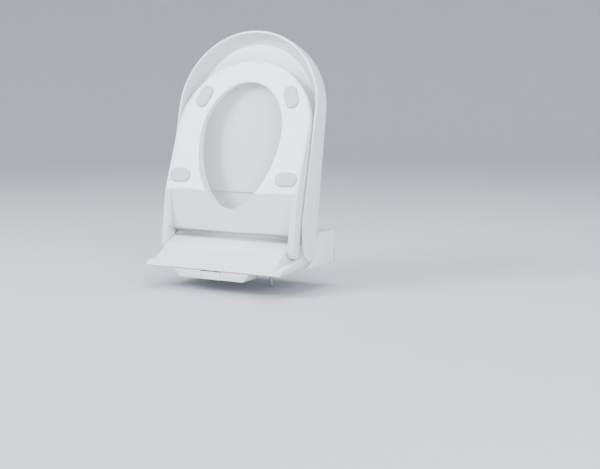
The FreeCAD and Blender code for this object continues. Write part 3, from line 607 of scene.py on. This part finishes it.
# ------------------------------------------------------------------ base unit
def make_base_cover():
    """The ramp, its side shoulders and the hinge ridge, as slices along Y."""
    ramp = [(FRONT_Y, RIM_GAP), (FRONT_Y, 3), (LIP_Y, LIP_Z), (-90, 37), (-50, RIDGE_Z),
            (BLOCK_Y - 0.5, RIDGE_Z)]
    outline = rounded([(a, b, r) for (a, b), r in zip(ramp, (0, 1.2, 2.2, 14, 5, 0))], 7)

    def shoulder(y, height):
        if y <= LIP_Y:
            return min(height, SHOULDER_Z)
        return min(height, SHOULDER_Z + SHOULDER_SLOPE * (y - LIP_Y))

    stations = []
    for y, height in outline:
        if y <= HOUSING_Y:
            low = shoulder(y, height)
            stations.append((y, height, low, low))
    for y in (-115, -108, -100, -80, -70, -60, -45, -40, -36):
        height = next(z0 + (z1 - z0) * (y - y0) / (y1 - y0)
                      for (y0, z0), (y1, z1) in zip(outline, outline[1:]) if y0 <= y <= y1)
        low = shoulder(y, height)
        stations.append((y, height, low, low))
    floor = SHOULDER_Z + SHOULDER_SLOPE * (HOUSING_Y - LIP_Y)
    bend = 2.0
    for step in range(6):
        wall_z = floor + (RIDGE_Z - floor - bend) * step / 5
        stations.append((HOUSING_Y + 0.001 * step - 0.01, RIDGE_Z, wall_z, wall_z))
    for step in range(1, 6):
        angle = math.radians(18 * step)
        z = RIDGE_Z - bend + bend * math.sin(angle)
        stations.append((HOUSING_Y + bend - bend * math.cos(angle), RIDGE_Z, z, z))
    half = math.degrees(math.acos((RIDGE_Z - LID_PIVOT.z) / BARREL_R))
    for a, b in arc((LID_PIVOT.y, LID_PIVOT.z), BARREL_R, 90 + half, 90 - half, 16):
        stations.append((a, max(b, RIDGE_Z), max(b, RIDGE_Z), RIDGE_Z))
    stations += [(y, RIDGE_Z, RIDGE_Z, RIDGE_Z) for y in (12, BLOCK_Y - 0.5)]
    stations.sort()

    sections = []
    for y, top, mid, side in stations:
        points = [(0, top), (RAMP_HALF / 2, top)]
        points += step_down(RAMP_HALF, top, mid)
        points += step_down(BARREL_HALF, mid, side)
        bend = min(2.2, (side - RIM_GAP) * 0.6)
        points += arc((SHOULDER_HALF - bend, side - bend), bend, 90, 0, 5) + [(SHOULDER_HALF, RIM_GAP)]
        sections.append([(x, y, z) for x, z in points])
    points = [p for section in sections for p in section]
    count = len(sections[0])
    faces = [(k * count + i, k * count + i + 1, (k + 1) * count + i + 1, (k + 1) * count + i)
             for k in range(len(sections) - 1) for i in range(count - 1)]
    total = len(points)
    points += [(-x, y, z) for x, y, z in points]
    faces += [tuple(total + c for c in reversed(face)) for face in faces]
    piece = new_piece("base_ramp_cover", points, faces, "white_gloss", "base", ["base_cover"])
    return thickened(piece, COVER_WALL)


def step_down(x, high, low):
    """A rounded step in a slice, from one level to a lower one at x."""
    bend = min(2.0, (high - low) / 2.3)
    return (arc((x - bend, high - bend), bend, 90, 0, 4) +
            arc((x + bend, low + bend), bend, 180, 270, 4))


def thickened(piece, thickness):
    """Give an open shell its wall, inwards from the outside face."""
    work = bmesh.new()
    work.from_mesh(piece.data)
    bmesh.ops.recalc_face_normals(work, faces=work.faces)
    top = max(work.faces, key=lambda f: f.calc_center_median().z)
    if top.normal.z < 0:
        bmesh.ops.reverse_faces(work, faces=work.faces)
    work.to_mesh(piece.data)
    work.free()
    solid = piece.modifiers.new("wall", "SOLIDIFY")
    solid.thickness = thickness * MM
    solid.offset = -1
    solid.use_even_offset = False
    apply_modifiers(piece)
    return piece


def apply_modifiers(piece):
    depsgraph = bpy.context.evaluated_depsgraph_get()
    mesh = bpy.data.meshes.new_from_object(piece.evaluated_get(depsgraph))
    piece.modifiers.clear()
    piece.data = mesh


def make_rear_housing():
    """The block behind the ramp, with a cheek and a round cradle at each side of the lid."""
    low_angle = -math.degrees(math.asin((LID_PIVOT.z - 16.6) / CRADLE_R))
    meet = math.degrees(math.acos((BLOCK_Y + 6 - LID_PIVOT.y) / CRADLE_R))
    cheek = [(-26, RIM_GAP), (-16, 5.5), (-3, 13)]
    cheek += [p for p in arc((LID_PIVOT.y, LID_PIVOT.z), CRADLE_R, low_angle, meet, 26)]
    cheek += rounded([(cheek[-1][0], BLOCK_TOP, 2.0), (BACK_Y, BLOCK_TOP, 3.0), (BACK_Y, RIM_GAP, 0.5),
                      (-26, RIM_GAP, 0)], 4)[:-1]
    block = rounded([(BLOCK_Y, RIM_GAP, 0), (BLOCK_Y, BLOCK_TOP, 2.0), (BACK_Y, BLOCK_TOP, 3.0),
                     (BACK_Y, RIM_GAP, 0.5)], 4)
    points, faces = [], []
    for side in (1, -1):
        slab(points, faces, cheek, side * CHEEK_X, side * HALF_WIDTH, CHEEK_EDGE)
    slab(points, faces, block, -181.2, 181.2, 0)
    return new_piece("rear_block", points, faces, "white_gloss", "base", ["rear_housing"])


def slab(points, faces, outline, x0, x1, edge):
    """An outline in Y and Z padded from x0 to x1, its edge at x1 rounded."""
    count = len(outline)
    rings = [(x0, 0.0)]
    way = 1 if x1 > x0 else -1
    if edge:
        rings += [(x1 - way * edge * (1 - math.sin(math.radians(a))),
                   edge * (1 - math.cos(math.radians(a)))) for a in range(0, 91, 15)]
    else:
        rings.append((x1, 0.0))
    start = len(points)
    for x, inset in rings:
        for index, (a, b) in enumerate(outline):
            before = Vector(outline[index - 1])
            after = Vector(outline[(index + 1) % count])
            along_edge = (after - before).normalized()
            normal = Vector((along_edge.y, -along_edge.x))
            points.append((x, a + normal.x * inset, b + normal.y * inset))
    for ring in range(len(rings) - 1):
        for index in range(count):
            step = (index + 1) % count
            faces.append((start + ring * count + index, start + ring * count + step,
                          start + (ring + 1) * count + step, start + (ring + 1) * count + index))
    faces.append(tuple(start + index for index in range(count)))
    faces.append(tuple(start + (len(rings) - 1) * count + index for index in range(count)))


# ------------------------------------------------------------------ camera, light and floor
def make_camera():
    yaw, pitch, roll = (math.radians(a) for a in (CAMERA_YAW, CAMERA_PITCH, CAMERA_ROLL))
    forward = Vector((-math.sin(yaw) * math.cos(pitch), math.cos(yaw) * math.cos(pitch), -math.sin(pitch)))
    right = forward.cross(Vector((0, 0, 1))).normalized()
    up = right.cross(forward)
    turned_right = right * math.cos(roll) + up * math.sin(roll)
    turned_up = up * math.cos(roll) - right * math.sin(roll)
    camera = bpy.data.objects.new("camera", bpy.data.cameras.new("camera"))
    bpy.context.scene.collection.objects.link(camera)
    turn = Matrix((turned_right, turned_up, -forward)).transposed().to_4x4()
    camera.matrix_world = Matrix.Translation(CAMERA_PLACE) @ turn
    camera.data.lens = CAMERA_LENS
    camera.data.sensor_width = 36
    camera.data.clip_end = 100
    bpy.context.scene.camera = camera


def make_light(name, place, aim, size, power, colour=(1, 1, 1)):
    light = bpy.data.lights.new(name, "AREA")
    light.shape = "RECTANGLE"
    light.size, light.size_y = size
    light.energy = power
    light.color = colour
    lamp = bpy.data.objects.new(name, light)
    bpy.context.scene.collection.objects.link(lamp)
    direction = Vector(aim) - Vector(place)
    lamp.matrix_world = Matrix.Translation(place) @ direction.to_track_quat("-Z", "Y").to_matrix().to_4x4()


def make_studio():
    """A pale paper floor that curves up into a wall all round, and soft lights."""
    floor_z = min(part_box(name)[0].z for name in frame["nodes"]) - 0.001
    profile = [(r, 0.0) for r in (0.0, 0.5, 1.2, 2.4, FLOOR_FLAT_R)]
    profile += [(FLOOR_FLAT_R + FLOOR_CURVE_R * math.sin(math.radians(a)),
                 FLOOR_CURVE_R * (1 - math.cos(math.radians(a)))) for a in range(6, 91, 6)]
    profile.append((FLOOR_FLAT_R + FLOOR_CURVE_R, FLOOR_WALL_TOP))
    count = 96
    points = [(r * math.cos(math.tau * k / count), r * math.sin(math.tau * k / count), z)
              for r, z in profile for k in range(count)]
    faces = [(row * count + k, row * count + (k + 1) % count, (row + 1) * count + (k + 1) % count,
              (row + 1) * count + k) for row in range(len(profile) - 1) for k in range(count)]
    mesh = bpy.data.meshes.new("studio_floor")
    mesh.from_pydata(points, [], faces)
    work = bmesh.new()
    work.from_mesh(mesh)
    bmesh.ops.remove_doubles(work, verts=work.verts, dist=0.0001)
    work.to_mesh(mesh)
    work.free()
    mesh.shade_smooth()
    floor = bpy.data.objects.new("studio_floor", mesh)
    bpy.context.scene.collection.objects.link(floor)
    floor.location = (0, 0, floor_z)
    floor.data.materials.append(moulded("studio_paper", (0.60, 0.61, 0.64), 0.75, 60, 0.05, spread=0.01))
    make_light("key", (-1.6, -2.0, 2.0), (0, -0.1, 0.25), (1.4, 1.4), 125, (0.94, 0.965, 1.0))
    make_light("fill", (2.3, -1.4, 1.3), (0, 0, 0.2), (1.6, 1.6), 72, (0.94, 0.965, 1.0))
    make_light("top", (0.2, 0.4, 2.5), (0, 0, 0), (1.8, 1.8), 62, (0.94, 0.965, 1.0))
    world = bpy.data.worlds.new("studio_air")
    world.use_nodes = True
    world.node_tree.nodes["Background"].inputs["Color"].default_value = (0.76, 0.80, 0.88, 1)
    world.node_tree.nodes["Background"].inputs["Strength"].default_value = 0.85
    bpy.context.scene.world = world


# ------------------------------------------------------------------ build
MATERIALS = make_materials()
make_camera()
make_studio()

for part in frame["record"]["subparts"]:
    carried = frame["nodes"][part["node"]].data
    carried.materials.clear()
    carried.materials.append(MATERIALS[part["material_slot"]])

make_lid()
make_liner()
make_seat_top()
make_seat_plate()
for way, word in ((1, "right"), (-1, "left")):
    for place, (x, y, turn) in (("rear", REAR_BUMPER), ("front", FRONT_BUMPER)):
        make_bumper("seat_bumper_%s_%s" % (place, word), way * x, y, way * turn)
make_base_cover()
make_rear_housing()
softened("nozzle_housing", "white_gloss", "base", 0.8)
softened("wand_cover_plate", "white_gloss", "wand", 0.6)
softened("wand_tip", "wand_white", "wand", 0.3)
